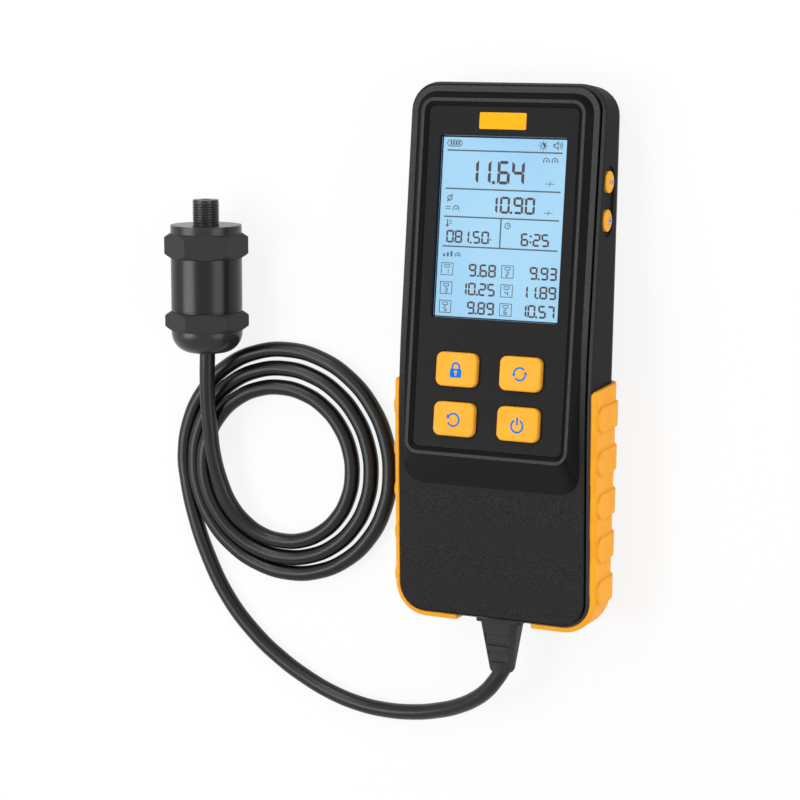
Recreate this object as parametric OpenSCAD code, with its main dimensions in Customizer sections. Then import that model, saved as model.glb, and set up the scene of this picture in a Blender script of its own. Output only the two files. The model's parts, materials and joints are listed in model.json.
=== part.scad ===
// Hand-held digital compression gauge with a screw-in pressure sensor on a lead.
// It lies on its flat back: +Z is up out of the display, +Y runs towards the head,
// +X is the side with the two round buttons. The origin lies on the back.

/* [Body] */
// Width of the front face between its edge grooves
face_w = 75.4; // [74:0.2:86]
// Corner radius of the front face
face_r = 9.5; // [8.5:0.5:12]
// Length of the head, from the bend's vertex to the top edge of the face
head_len = 109; // [108:0.5:118]
// Length of the handle, from the bend's vertex to the bottom edge of the face
handle_len = 89; // [86:0.5:100]
// Fall of the head's face towards its top end, in degrees
head_tilt = 6.5; // [5.5:0.25:7]
// Fall of the handle's face towards its bottom end, in degrees
handle_tilt = 1; // [0.5:0.25:2]
// Radius of the bend between head and handle
bend_r = 330; // [260:10:400]
// Height of the face above the back, at the bend's vertex
vertex_h = 31; // [30:0.5:34]
// How far the side wall stands out beyond the face
wall_bulge = 1.3; // [1.2:0.1:2]
// Thickness of the moulded walls
wall = 2.2; // [1.8:0.1:2.4]
// Thickness of the front shell's face
face_t = 2.2; // [2:0.1:2.6]
// Radius of the shoulder where the wall turns to the face
shoulder_r = 3.4; // [3:0.1:3.6]
// Depth of the upright wall at the head's end, from the face to where it turns to the back
belt_depth = 14.2; // [13.5:0.1:15]
// Depth of the upright wall at the handle's end
handle_belt = 16.2; // [15:0.1:17]
// Radius of that turn
belt_r = 6; // [5:0.5:8]
// Inset of the back's edge from the walls at the handle's end
handle_rear_in = 8; // [6:0.5:10]
// Inset of the back's edge from the walls at the head's end
head_rear_in = 3; // [2:0.5:5]
// Width of the groove between front shell and rear shell
groove_w = 0.6; // [0.4:0.1:0.8]
// Gap between parts that are fitted into each other
fit_gap = 0.1; // [0.05:0.01:0.15]

/* [Display frame] */
// Width of the dark face panel
panel_w = 59.8; // [58:0.2:62]
// Height of the dark face panel
panel_h = 126.4; // [125:0.2:128]
// Distance of the panel's top edge from the head's top edge
panel_in = 7.8; // [7.5:0.1:9]
// Thickness of the panel
panel_t = 1.5; // [1.2:0.1:1.8]
// Height of the frame's ridge above the face
ridge_h = 2.1; // [1.8:0.1:2.6]
// Width of the ridge's crest
ridge_w = 1.2; // [0.8:0.1:1.6]
// Depth of the panel below the ridge
panel_drop = 1.2; // [0.8:0.05:1.3]
// Width of the slope from the ridge down to the panel
inner_slope = 1.6; // [1.2:0.1:2]
// Width of the slope from the ridge down to the face
outer_slope = 2.3; // [1.8:0.1:2.6]
// Length of the long lower ramp
ramp_run = 12.5; // [11:0.5:15]
// Width of the display opening
window_w = 51.2; // [49:0.2:52]
// Distance of the display opening from the panel's top edge
window_in = 10.7; // [10:0.1:12]
// Distance of the display opening from the panel's bottom edge
window_low = 48.3; // [46:0.1:50]

/* [Keys] */
// Width of a front key
key_w = 16.6; // [14:0.1:17]
// Height of a front key
key_h = 12.7; // [11:0.1:13]
// Corner radius of a front key
key_r = 2.7; // [2:0.1:3.5]
// Spacing of the two key columns
key_pitch_x = 25.7; // [24:0.1:28]
// Spacing of the two key rows
key_pitch_y = 18.4; // [17:0.1:19]
// Middle of the keys above the panel's bottom edge
keys_up = 20.2; // [19.8:0.1:21]
// Height of a key above the panel
key_rise = 2.1; // [1.6:0.1:2.4]
// Travel of a front key
key_travel = 1; // [0.6:0.1:1.1]
// Gap all round a moving key or button
key_gap = 0.35; // [0.25:0.05:0.5]
// Diameter of a side button
button_d = 8; // [7:0.1:8.4]
// Spacing of the two side buttons
button_pitch = 14; // [13:0.1:15]
// Middle of the side buttons below the head's top edge
buttons_in = 40.5; // [39:0.5:43]
// Depth of the side buttons' axes below the face
button_depth = 9; // [8.8:0.1:9.4]
// Height of a side button's dome above the wall
button_rise = 1.1; // [0.7:0.1:1.5]
// Travel of a side button
button_travel = 0.8; // [0.5:0.1:0.9]
// Depth of the racetrack recess round the side buttons
recess_d = 0.7; // [0.4:0.1:0.9]

/* [Grips] */
// Thickness of the rubber grips on the walls
grip_t = 1.7; // [1.4:0.1:2.4]
// Height of the raised grip pads
pad_t = 0.9; // [0.6:0.1:1.2]
// Length of a grip pad along the handle
pad_len = 9.2; // [8.4:0.2:10.4]
// Spacing of the grip pads
pad_pitch = 16.2; // [15:0.1:17]
// Start of the first grip pad below the bend's vertex
pad_start = 7.4; // [6:0.2:8]
// Width of the gap between the grips at the lead
grip_gap = 30.5; // [26:0.5:34]

/* [Batteries] */
// Diameter of a battery cell
cell_d = 10.5; // [10:0.1:10.7]
// Length of a battery cell
cell_l = 44.5; // [43:0.1:45]
// Spacing of the cells
cell_pitch = 11.2; // [11:0.1:11.6]
// Room for the contacts at each end of a cell
contact_room = 3.2; // [2.8:0.1:3.6]

/* [Sensor] */
// Diameter of the threaded stub
thread_d = 10; // [8:0.5:12]
// Length of the threaded stub
thread_l = 9.9; // [8:0.1:14]
// Diameter of the bore through the stub
port_d = 4; // [3:0.1:5]
// Width across the flats of the two hexagons
hex_af = 28.6; // [28:0.1:32]
// Length of the upper hexagon
upper_hex_l = 9.7; // [8:0.1:12]
// Length of the lower hexagon
lower_hex_l = 7.4; // [6:0.1:10]
// Diameter of the collar and of the barrel
barrel_d = 28; // [26:0.1:28]
// Length of the barrel between the hexagons
barrel_l = 21.2; // [18:0.1:28]
// Wall of the barrel
barrel_wall = 2.5; // [2:0.1:3.5]
// Thickness of the collar under the thread
collar_l = 3.2; // [2:0.1:5]
// Length of the domed end
dome_l = 9; // [8:0.1:12]
// Edge radius of the domed end
dome_r = 8.2; // [7:0.1:8.6]

/* [Lead] */
// Diameter of the lead
lead_d = 6.2; // [5.8:0.1:6.6]
// Length of the strain relief outside the wall
relief_l = 22; // [18:0.5:26]
// Outer radius of the coiled lead
coil_out_r = 50; // [48:0.5:52]
// Width of the coiled lead's band
coil_band = 21.5; // [19:0.5:24]

/* [Hidden] */
$fn = 64;
soft_fn = 32;
skin = 0.2;
vertex_y = -12;

// Bend
bend_angle = head_tilt + handle_tilt;
bend_run = bend_r * tan(bend_angle / 2);

// Housing
body_half = face_w / 2 + wall_bulge;
corner_x = face_w / 2 - face_r;
corner_r = face_r + wall_bulge;
tub_depth = 1.25 * vertex_h;
stations = 6;
seat_edge = groove_w / 2;
plate_edge = -groove_w / 2;
rib_t = 1.3;
rib_depth = 1.4;
rib_gap = 1.2;
rib_x = body_half - wall - rib_gap - rib_t;
inner_r = 1.5;
back_r = 3;
top_lean = 2;

// Frame on the head
panel_y = head_len - panel_in - panel_h / 2;
panel_z = ridge_h - panel_drop;
panel_floor = panel_z - panel_t;
frame_r = 2.2;
ridge_grow = inner_slope + ridge_w;
foot_depth = 0.6;
foot_grow = ridge_grow + outer_slope * (ridge_h + foot_depth) / ridge_h;
ramp_foot = panel_h / 2 - panel_y + ridge_grow + ramp_run;
window_h = panel_h - window_in - window_low;
window_y = (window_low - window_in) / 2;
window_lip = 2.8;
lens_t = 0.8;
glass_t = 2;
light_t = 2.2;
stack_gap = 0.2;
board_t = 1.6;
board_z = -face_t - glass_t - light_t - stack_gap;
board_half = 28.5;
board_top = panel_y + panel_h / 2 - 1.2;
board_low = panel_y - panel_h / 2 + 3.2;
board_spots_x = 25;
board_spots_y = [board_low + 3, board_top - 3];
board_screw_d = 2;
board_head_t = 1.2;
board_bite = 3.6;
board_post_d = 5;
chip_w = 12;
chip_t = 1.4;
buzzer_d = 12;
buzzer_t = 4;
buzzer_at = [-14, 24];

// Keys, seen in the head's frame
key_edge = 0.9;
key_flange = 1;
key_flange_t = 0.8;
key_stem_d = 4;
key_stem = 0.4;
stop_gap = 0.3;
key_low = -face_t - stop_gap - key_flange_t;
switch_top = key_low - key_stem - key_travel - stop_gap;
keys_y = panel_y - panel_h / 2 + keys_up;
switch_w = 6.2;
switch_t = 0.9;
plunger_d = 3;

// Side buttons
buttons_y = head_len - buttons_in;
button_flange = 0.8;
button_flange_t = 0.8;
wall_inside = body_half - wall;
button_in = wall_inside - stop_gap - button_flange_t;
side_plunger_end = button_in - button_travel - stop_gap;
side_switch_w = 6;
side_switch_t = 3.5;
side_board_t = 1.2;
recess_h = button_d + 1.8;

// Grips
grip_front = 2.3;
grip_low = 5;
grip_bevel = 0.5;
grip_end = 1.5;
grip_corner = 3;
pad_front = 3.7;
pad_corner = 4.3;
pads = 5;
grip_slant = 2.5;

// Battery bay, on the back
bay_half_w = cell_pitch + cell_d / 2 + 0.8;
bay_half_l = cell_l / 2 + contact_room;
door_lip = 3.6;
door_t = 2;
door_sink = 0.2;
door_seat = door_t + door_sink;
door_half_w = bay_half_w + door_lip;
door_half_l = bay_half_l + door_lip + 1;
door_r = 2;
bay_end = 4.95;
bay_y = vertex_y - handle_len + handle_rear_in + door_half_l + bay_end;
bay_room = 0.6;
nub_d = 4;
nub_l = 1;
contact_in = 1;
contact_d = 3;
leaf_t = 0.5;
leaf_w = 4;
leaf_rise = 3;
cell_z = door_seat + bay_room + cell_d / 2;
bay_top = cell_z + cell_d / 2 + bay_room;
bay_wall = 1.5;
door_screw_y = bay_y - bay_half_l - door_lip / 2 - 0.4;
door_screw_d = 2.2;
door_screw_l = 7;
door_head_t = 1;
door_head_in = 0.8;
door_post_h = 10;
tongue_w = 8;
tongue_l = 3;
tongue_in = 2;
pull_ribs = 2;
pull_d = 0.9;
pull_l = 16;
pull_pitch = 1.6;
pull_in = 6;

// Case screws: x, y and height of the joint between the two bosses
head_spot_in = [5.7, 19];
head_spot_z = 9;
handle_spot_in = [11.2, 15];
handle_spot_z = 12;
head_spot = [face_w / 2 - head_spot_in[0], vertex_y + head_len - head_spot_in[1], head_spot_z];
handle_spot = [face_w / 2 - handle_spot_in[0], vertex_y - handle_len + handle_spot_in[1], handle_spot_z];
case_spots = [
    head_spot, [-head_spot[0], head_spot[1], head_spot[2]],
    handle_spot, [-handle_spot[0], handle_spot[1], handle_spot[2]]
];
case_screw_d = 2.9;
case_head_d = 5.4;
case_head_t = 2;
case_bite = 6;
case_seat = 5;
boss_r = 2.8;
boss_wall = 1.5;

// Strain relief
relief_depth = 11;
relief_flange = [18.4, 9.4, 2.4];
relief_neck = [11, 6.4];
relief_root = 15.4;
relief_end_d = 9.6;
relief_lip = 1.2;
relief_seat = 0.05;
notch = [10.6, 2, 4.4];
notch_taper = 2.2;
notch_at = 9.1;
notch_pitch = 6.4;
relief_run = handle_len + wall_bulge + relief_l;
relief_end = [
    0,
    vertex_y - relief_run * cos(handle_tilt) + relief_depth * sin(handle_tilt),
    vertex_h - relief_run * sin(handle_tilt) - relief_depth * cos(handle_tilt)
];

// Sensor, along its own axis from the domed end
hex_r = hex_af / 2 / cos(30);
sensor_x = -129.5;
sensor_y = -10.5;
cap_top = dome_l + lower_hex_l;
barrel_top = cap_top + barrel_l;
hex_top = barrel_top + upper_hex_l;
collar_top = hex_top + collar_l;
stub_top = collar_top + thread_l;
spigot_l = 5;
bore_r = barrel_d / 2 - barrel_wall;
hex_chamfer = 1.6;
cell_face_d = 17;
cell_face_t = 5;
seal_d = 1.8;
sense_board_t = 1.2;
grommet_l = 5;

// Lead: hand-chosen points of its two free stretches, and the coil's middle
coil_mid = [-103.5, -55];
coil_mid_r = coil_out_r - coil_band / 2;
tail_points = [
    relief_end,
    [-3.5, -129.2, 17.3],
    [-7, -133.1, 16.3],
    [-12, -137.1, 15],
    [-20.9, -142, 12.4],
    [-31.1, -145.9, 9.8],
    [-42.5, -148.8, 7.4],
    [-56.2, -150.1, 5.3],
    [-68.6, -149.4, 4],
    [-80.7, -146.2, 3.4],
    [-92.7, -141.8, 3.2],
    [-104.7, -135.1, 3.2],
    [-116.8, -126.2, 3.2],
    [-128.9, -112.9, 3.2],
    [-139.3, -93.8, 3.2],
];
lead_points = [
    [sensor_x, sensor_y, hex_r],
    [-129.6, -16, 16.1],
    [-130.4, -24, 14.8],
    [-131.2, -33, 13],
    [-131.8, -42, 11.2],
    [-131, -52, 9],
    [-128, -62, 7],
    [-123.5, -71, 5.2],
    [-117, -78.5, 3.8],
    [-109, -83.5, 3.2],
];

black = "#2e2e30";
dark = "#3a3a3c";
orange = "#ffab2e";
steel = "#b9bcc0";
metal = "#4a4b4d";

// Frames: both start at the bend's vertex, with z = 0 on the face
module at_head() {
    translate([0, vertex_y, vertex_h]) rotate([-head_tilt, 0, 0]) children();
}

module at_handle() {
    translate([0, vertex_y, vertex_h]) rotate([handle_tilt, 0, 0]) children();
}

module at_panel() {
    at_head() translate([0, panel_y, 0]) children();
}

module at_sensor() {
    translate([sensor_x, sensor_y, hex_r]) rotate([-90, 0, 0]) children();
}

// Rounded rectangle, centred
module rounded(w, h, r) {
    square([w - 2 * r, h], center = true);
    square([w, h - 2 * r], center = true);
    for (x = [-1, 1])
        for (y = [-1, 1])
            translate([x * (w / 2 - r), y * (h / 2 - r)]) circle(r);
}

module slab(w, h, r, low, high) {
    translate([0, 0, low]) linear_extrude(high - low) rounded(w, h, r);
}

// Slab with a quarter-round upper edge
module soft_slab(w, h, r, low, high, edge) {
    slab(w, h, r, low, high - edge);
    slab(w - 2 * edge, h - 2 * edge, r - edge, low, high);
    for (turn = [0, 1]) {
        for (side = [0, 1]) {
            across = turn == 0 ? w : h;
            along = turn == 0 ? h : w;
            rotate(90 * turn + 180 * side) translate([across / 2 - edge, along / 2 - r, high - edge])
                rotate([90, 0, 0]) linear_extrude(along - 2 * r) quarter(edge);
        }
    }
    for (x = [-1, 1])
        for (y = [-1, 1])
            translate([x * (w / 2 - r), y * (h / 2 - r), high - edge])
                rotate_extrude() translate([r - edge, 0]) quarter(edge);
}

module quarter(r) {
    intersection() {
        circle(r);
        square(r);
    }
}

module end_outline(len, edge) {
    half = face_w / 2 + edge;
    far = head_len + handle_len;
    translate([-half, -far]) square([2 * half, far + len + edge - face_r]);
    translate([face_r - half, -far]) square([2 * (half - face_r), far + len + edge]);
    for (side = [-1, 1])
        translate([side * (half - face_r), len + edge - face_r]) circle(face_r);
}

// Side view of the bent face at a height over it, from beyond the head to beyond the handle
function face_line(height) = concat(
    [[2 * head_len, height]],
    [
        for (i = [0:stations - 1])
            let (a = bend_angle * (i + 0.5) / stations, r = (bend_r + height) / cos(bend_angle / stations / 2))
                [bend_run - r * sin(a), r * cos(a) - bend_r]
    ],
    [[
        -2 * handle_len * cos(bend_angle) - height * sin(bend_angle),
        height * cos(bend_angle) - 2 * handle_len * sin(bend_angle)
    ]]
);
function turned(list) = [for (i = [len(list) - 1:-1:0]) list[i]];

// A layer of the bent face, out to an edge beyond the face's outline
module face_slab(edge, low, high) {
    intersection() {
        at_head() translate([-2 * body_half, 0, 0]) rotate([90, 0, 90]) linear_extrude(4 * body_half)
            polygon(concat(face_line(high), turned(face_line(low))));
        at_head() translate([0, 0, -tub_depth]) linear_extrude(2 * tub_depth) end_outline(head_len, edge);
        at_handle() mirror([0, 1, 0]) translate([0, 0, -tub_depth]) linear_extrude(2 * tub_depth)
            end_outline(handle_len, edge);
    }
}

// Corners of the face, places along the bend, and a ring with a round edge, its top at z = 0
module at_corners(head_z, handle_z) {
    for (x = [-1, 1]) {
        at_head() translate([x * corner_x, head_len - face_r, head_z]) children();
        at_handle() translate([x * corner_x, face_r - handle_len, handle_z]) children();
    }
}

module at_stations(half) {
    for (i = [0:stations])
        for (x = [-1, 1])
            at_head() translate([0, bend_run, -bend_r]) rotate([bend_angle * i / stations, 0, 0])
                translate([x * half, 0, bend_r]) children();
}

module ring(r, edge) {
    rotate_extrude($fn = soft_fn) intersection() {
        translate([r - edge, -edge]) circle(edge, $fn = soft_fn / 2);
        translate([0, -2 * edge]) square([r, 2 * edge]);
    }
}

// Corners of the flat back
module at_back(half_in) {
    for (x = [-1, 1]) {
        translate([x * (body_half - handle_rear_in - half_in), vertex_y - handle_len + handle_rear_in + half_in, 0])
            children();
        translate([x * (body_half - head_rear_in - half_in), vertex_y + head_len - head_rear_in - half_in - top_lean, 0])
            children();
    }
}

// Body of the housing: upright walls, round turn and slopes to the back, all set in from the outside
module tub(inset, top, edge) {
    r = corner_r - inset;
    turn = belt_r - inset;
    hull() {
        at_corners(top, top) ring(r, edge);
        at_corners(turn - belt_depth, turn - handle_belt) ring(r, turn);
        at_stations(body_half - inset - 2 * edge) translate([0, 0, top]) ring(2 * edge, edge);
        at_back(back_r + inset) cylinder(r = back_r, h = skin, $fn = soft_fn);
    }
}

module above(z) {
    translate([-body_half * 2, -head_len * 2, z]) cube([body_half * 4, head_len * 4, vertex_h * 2]);
}

// Raised frame round the panel, running out in the long lower ramp
module frame_block() {
    ridge_half = panel_w / 2 + ridge_grow;
    ridge_top = panel_h / 2 + ridge_grow;
    ridge_r = frame_r + ridge_grow;
    foot_half = panel_w / 2 + foot_grow;
    foot_r = frame_r + foot_grow;
    foot_top = panel_y + panel_h / 2 + foot_grow;
    hull() {
        for (x = [-1, 1]) {
            for (y = [-1, 1])
                at_panel() translate([x * (ridge_half - ridge_r), y * (ridge_top - ridge_r), ridge_h - skin])
                    cylinder(r = ridge_r, h = skin, $fn = soft_fn);
            at_head() translate([x * (foot_half - foot_r), foot_top - foot_r, -foot_depth])
                cylinder(r = foot_r, h = skin, $fn = soft_fn);
            at_handle() translate([x * (foot_half - foot_r), foot_r - ramp_foot, -foot_depth])
                cylinder(r = foot_r, h = skin, $fn = soft_fn);
        }
        at_stations(foot_half - 1) translate([0, 0, -foot_depth]) cylinder(r = 1, h = skin, $fn = soft_fn);
    }
}

// Sloped opening of the frame above the panel
module frame_opening() {
    rise = ridge_h + skin - panel_z;
    grow = inner_slope * rise / panel_drop;
    at_panel() hull() {
        for (x = [-1, 1]) {
            for (y = [-1, 1]) {
                translate([x * (panel_w / 2 - frame_r), y * (panel_h / 2 - frame_r), panel_z])
                    cylinder(r = frame_r, h = skin / 4, $fn = soft_fn);
                translate([x * (panel_w / 2 - frame_r), y * (panel_h / 2 - frame_r), ridge_h + skin])
                    cylinder(r = frame_r + grow, h = skin / 4, $fn = soft_fn);
            }
        }
    }
}

module at_keys() {
    for (column = [-1, 1])
        for (row = [-1, 1])
            at_key(column, row) children();
}

module at_key(column, row) {
    at_head() translate([column * key_pitch_x / 2, keys_y + row * key_pitch_y / 2, 0]) children();
}

module key_holes() {
    at_keys() slab(key_w + 2 * key_gap, key_h + 2 * key_gap, key_r + key_gap, -3 * face_t, ridge_h);
}

module window_hole() {
    at_panel() translate([0, window_y, 0]) slab(window_w, window_h, 0.8, -3 * face_t, ridge_h);
}

module at_board_spots() {
    for (x = [-1, 1])
        for (y = board_spots_y)
            at_head() translate([x * board_spots_x, y, 0]) children();
}

// Height of the face over a point of the table, away from the bend
function face_over(y) = y > vertex_y
    ? vertex_h - (y - vertex_y) * tan(head_tilt)
    : vertex_h + (y - vertex_y) * tan(handle_tilt);

// Ribs that locate the face inside the walls
module edge_ribs() {
    long = [rib_t, head_len - 2 * face_r - bend_run, rib_depth + face_t / 2];
    short = [rib_t, handle_len - 2 * face_r - bend_run, rib_depth + face_t / 2];
    for (side = [0, 1])
        mirror([side, 0, 0]) {
            at_head() translate([rib_x, bend_run, -face_t - rib_depth]) cube(long);
            at_handle() translate([rib_x, face_r - handle_len, -face_t - rib_depth]) cube(short);
        }
}

module front_shell() {
    color(black) {
        difference() {
            union() {
                face_slab(plate_edge, -face_t, 0);
                frame_block();
                edge_ribs();
            }
            frame_opening();
            at_panel() slab(panel_w, panel_h, frame_r, panel_floor, ridge_h);
            at_head() translate([-panel_w / 2, panel_y - panel_h / 2, -tub_depth])
                cube([panel_w, panel_h, tub_depth - face_t]);
            window_hole();
            key_holes();
        }
        at_board_spots() difference() {
            translate([0, 0, board_z]) cylinder(d = board_post_d, h = -board_z - face_t / 2);
            translate([0, 0, board_z - 1]) cylinder(d = board_screw_d + fit_gap, h = board_bite + 1.4);
        }
        for (spot = case_spots) {
            difference() {
                translate([spot[0], spot[1], spot[2]])
                    cylinder(r = boss_r, h = face_over(spot[1]) - face_t / 2 - spot[2]);
                translate([spot[0], spot[1], spot[2] - 1])
                    cylinder(d = case_screw_d + fit_gap, h = case_bite + 2);
            }
        }
    }
}

module rear_shell() {
    color(dark) difference() {
        union() {
            difference() {
                intersection() {
                    tub(0, 0, shoulder_r);
                    above(0);
                }
                intersection() {
                    tub(wall, skin - face_t, inner_r);
                    above(wall);
                }
                face_slab(seat_edge, -face_t, 1);
            }
            translate([0, bay_y, 0])
                slab(2 * (door_half_w + bay_wall), 2 * (door_half_l + bay_wall), 3, 0, door_seat + 2 * bay_wall);
            translate([0, bay_y, 0])
                slab(2 * (bay_half_w + bay_wall), 2 * (bay_half_l + bay_wall), 2, 0, bay_top + bay_wall);
            translate([0, door_screw_y, 0]) cylinder(d = 3 * door_screw_d, h = door_post_h);
            for (spot = case_spots)
                translate([spot[0], spot[1], 0]) cylinder(r = boss_r + boss_wall, h = spot[2]);
        }
        translate([0, bay_y, 0]) slab(2 * bay_half_w, 2 * bay_half_l, 1, -1, bay_top);
        translate([0, bay_y, 0])
            slab(2 * (door_half_w + fit_gap), 2 * (door_half_l + fit_gap), door_r + fit_gap, -1, door_seat);
        door_tongues(fit_gap);
        translate([0, door_screw_y, 0]) cylinder(d = door_screw_d + fit_gap, h = door_post_h - bay_wall);
        for (spot = case_spots) {
            translate([spot[0], spot[1], -1]) cylinder(d = case_head_d + 4 * fit_gap, h = case_seat + 1);
            translate([spot[0], spot[1], 0]) cylinder(d = case_screw_d + 4 * fit_gap, h = spot[2] + 1);
        }
        at_head() translate([body_half - recess_d, buttons_y, -button_depth]) rotate([0, 90, 0])
            linear_extrude(wall) rounded(recess_h, button_pitch + recess_h + 2, recess_h / 2 - 0.01);
        at_buttons() translate([0, 0, wall_inside - 1]) cylinder(d = button_d + 2 * key_gap, h = wall + 2);
        relief_hole();
    }
}

module face_panel() {
    color(black) difference() {
        at_panel() slab(panel_w - 2 * fit_gap, panel_h - 2 * fit_gap, frame_r, panel_floor, panel_z);
        window_hole();
        key_holes();
    }
}

// Room of the right grip: below its bevelled front edge, clear of the lead and below the slanted end
module grip_room() {
    spread = 1.5 * grip_t;
    run = 1.5 * grip_bevel;
    post = shoulder_r;
    intersection() {
        hull() {
            for (x = [0, corner_x])
                at_handle() translate([x, face_r - handle_len, 0]) {
                    translate([0, 0, -grip_front - skin])
                        cylinder(r = corner_r + skin, h = skin, $fn = soft_fn);
                    translate([0, 0, -tub_depth])
                        cylinder(r = corner_r + spread + skin, h = tub_depth - grip_front - run, $fn = soft_fn);
                }
            at_stations(body_half - post) {
                translate([0, 0, -grip_front - skin]) cylinder(r = post + skin, h = skin, $fn = soft_fn);
                translate([0, 0, -tub_depth])
                    cylinder(r = post + spread + skin, h = tub_depth - grip_front - run, $fn = soft_fn);
            }
        }
        at_handle() translate([grip_gap / 2, 0, 0])
            rotate([90, 0, 90]) linear_extrude(body_half) grip_outline();
        above(grip_low);
    }
}

// Side view of the grip's slanted upper end, with its round front corner
module grip_outline() {
    top = skin - grip_front;
    mid_z = top - grip_corner;
    mid_y = -grip_end - mid_z * tan(grip_slant) - grip_corner / cos(grip_slant);
    side = mid_y + grip_corner * cos(grip_slant);
    side_z = mid_z + grip_corner * sin(grip_slant);
    polygon([
        [-2 * handle_len, top], [mid_y, top], [side, side_z],
        [side + (side_z + tub_depth) * tan(grip_slant), -tub_depth], [-2 * handle_len, -tub_depth]
    ]);
    translate([mid_y, mid_z]) circle(grip_corner);
}

// Side view of one pad, round at its front corners
module pad_outline() {
    translate([0, -pad_front - vertex_h]) rounded(pad_len, 2 * vertex_h, pad_corner);
}

module grip() {
    color(orange) difference() {
        union() {
            intersection() {
                tub(-grip_t, 0, shoulder_r);
                grip_room();
            }
            intersection() {
                tub(-grip_t - pad_t, 0, shoulder_r);
                for (i = [0:pads - 1])
                    at_handle() translate([body_half / 2, -pad_start - pad_len / 2 - i * pad_pitch, 0])
                        rotate([90, 0, 90]) linear_extrude(body_half) pad_outline();
                above(grip_low + 1);
            }
        }
        tub(0, 0, shoulder_r);
    }
}

module left_grip() {
    mirror([1, 0, 0]) grip();
}

module right_grip() {
    grip();
}

// Display
module display_window() {
    color("#dfeef6", 0.4) at_panel() translate([0, window_y, 0])
        slab(window_w - 2 * fit_gap, window_h - 2 * fit_gap, 0.8, -face_t, lens_t - face_t);
}

module lcd_glass() {
    color("#a9d8f2") at_panel() translate([0, window_y, 0])
        slab(window_w + 2 * window_lip, window_h + 2 * window_lip, 0.5, -face_t - glass_t, -face_t);
}

module backlight() {
    color("white") at_panel() translate([0, window_y, 0])
        slab(window_w + window_lip, window_h + window_lip, 0.5, -face_t - glass_t - light_t, -face_t - glass_t);
}

module main_board() {
    color("#1f6b3a") at_head() difference() {
        translate([-board_half, board_low, board_z - board_t])
            cube([2 * board_half, board_top - board_low, board_t]);
        for (x = [-1, 1])
            for (y = board_spots_y)
                translate([x * board_spots_x, y, board_z - 2 * board_t])
                    cylinder(d = board_screw_d + 4 * fit_gap, h = 3 * board_t);
    }
}

module board_screws() {
    color(steel) at_board_spots() {
        translate([0, 0, board_z - board_t - board_head_t]) cylinder(d = 2 * board_screw_d, h = board_head_t);
        translate([0, 0, board_z - board_t - board_head_t / 2])
            cylinder(d = board_screw_d, h = board_t + board_head_t / 2 + board_bite);
    }
}

// Keys
module front_key() {
    color(orange) {
        soft_slab(key_w, key_h, key_r, -face_t - stop_gap, panel_z + key_rise, key_edge);
        slab(key_w + 2 * key_flange, key_h + 2 * key_flange, key_r + key_flange, key_low, -face_t - stop_gap);
        translate([0, 0, key_low - key_stem]) cylinder(d = key_stem_d, h = key_stem + 0.4);
    }
}

module lock_key() {
    at_key(-1, 1) front_key();
}

module cycle_key() {
    at_key(1, 1) front_key();
}

module undo_key() {
    at_key(-1, -1) front_key();
}

module power_key() {
    at_key(1, -1) front_key();
}

module key_switches() {
    color("#222222") at_keys() {
        slab(switch_w, switch_w, 0.4, board_z, board_z + switch_t);
        translate([0, 0, board_z]) cylinder(d = plunger_d, h = switch_top - board_z);
    }
}

// Side buttons: z runs outwards from the middle plane
module at_button(place) {
    at_head() translate([0, buttons_y + place * button_pitch / 2, -button_depth]) rotate([0, 90, 0]) children();
}

module at_buttons() {
    for (place = [-1, 1])
        at_button(place) children();
}

module side_button() {
    dome_top = body_half + button_rise;
    dome_curve = button_d;
    color(orange) {
        intersection() {
            translate([0, 0, button_in]) cylinder(d = button_d, h = dome_top - button_in);
            translate([0, 0, dome_top - dome_curve]) sphere(r = dome_curve);
        }
        translate([0, 0, button_in]) cylinder(d = button_d + 2 * button_flange, h = button_flange_t);
    }
}

module mode_button() {
    at_button(1) side_button();
}

module light_button() {
    at_button(-1) side_button();
}

module side_board() {
    color("#1f6b3a") at_head() translate([board_half, buttons_y, -button_depth])
        translate([0, -button_pitch, -side_switch_w / 2 - 1])
            cube([side_board_t, 2 * button_pitch, side_switch_w + 2]);
}

module side_switches() {
    start = board_half + side_board_t;
    color("#222222") at_buttons() {
        slab(side_switch_w, side_switch_w, 0.4, start, start + side_switch_t);
        translate([0, 0, start]) cylinder(d = plunger_d, h = side_plunger_end - start);
    }
}

module controller_chip() {
    color("#222222") at_head() translate([0, panel_y, 0])
        slab(chip_w, chip_w, 0.4, board_z - board_t - chip_t, board_z - board_t);
}

module buzzer() {
    color("#222222") at_panel() translate([buzzer_at[0], buzzer_at[1], board_z - board_t - buzzer_t])
        difference() {
        cylinder(d = buzzer_d, h = buzzer_t);
        translate([0, 0, -buzzer_t / 2]) cylinder(d = buzzer_d / 6, h = buzzer_t);
    }
}

// Battery bay
module cell(place) {
    color("#30454f") translate([place * cell_pitch, bay_y + cell_l / 2, cell_z])
        rotate([90, 0, place == 0 ? 180 : 0]) translate([0, 0, place == 0 ? -cell_l : 0]) {
            translate([0, 0, nub_l]) cylinder(d = cell_d, h = cell_l - nub_l);
            cylinder(d = nub_d, h = 1.5 * nub_l);
        }
}

module battery_1() {
    cell(-1);
}

module battery_2() {
    cell(0);
}

module battery_3() {
    cell(1);
}

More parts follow.
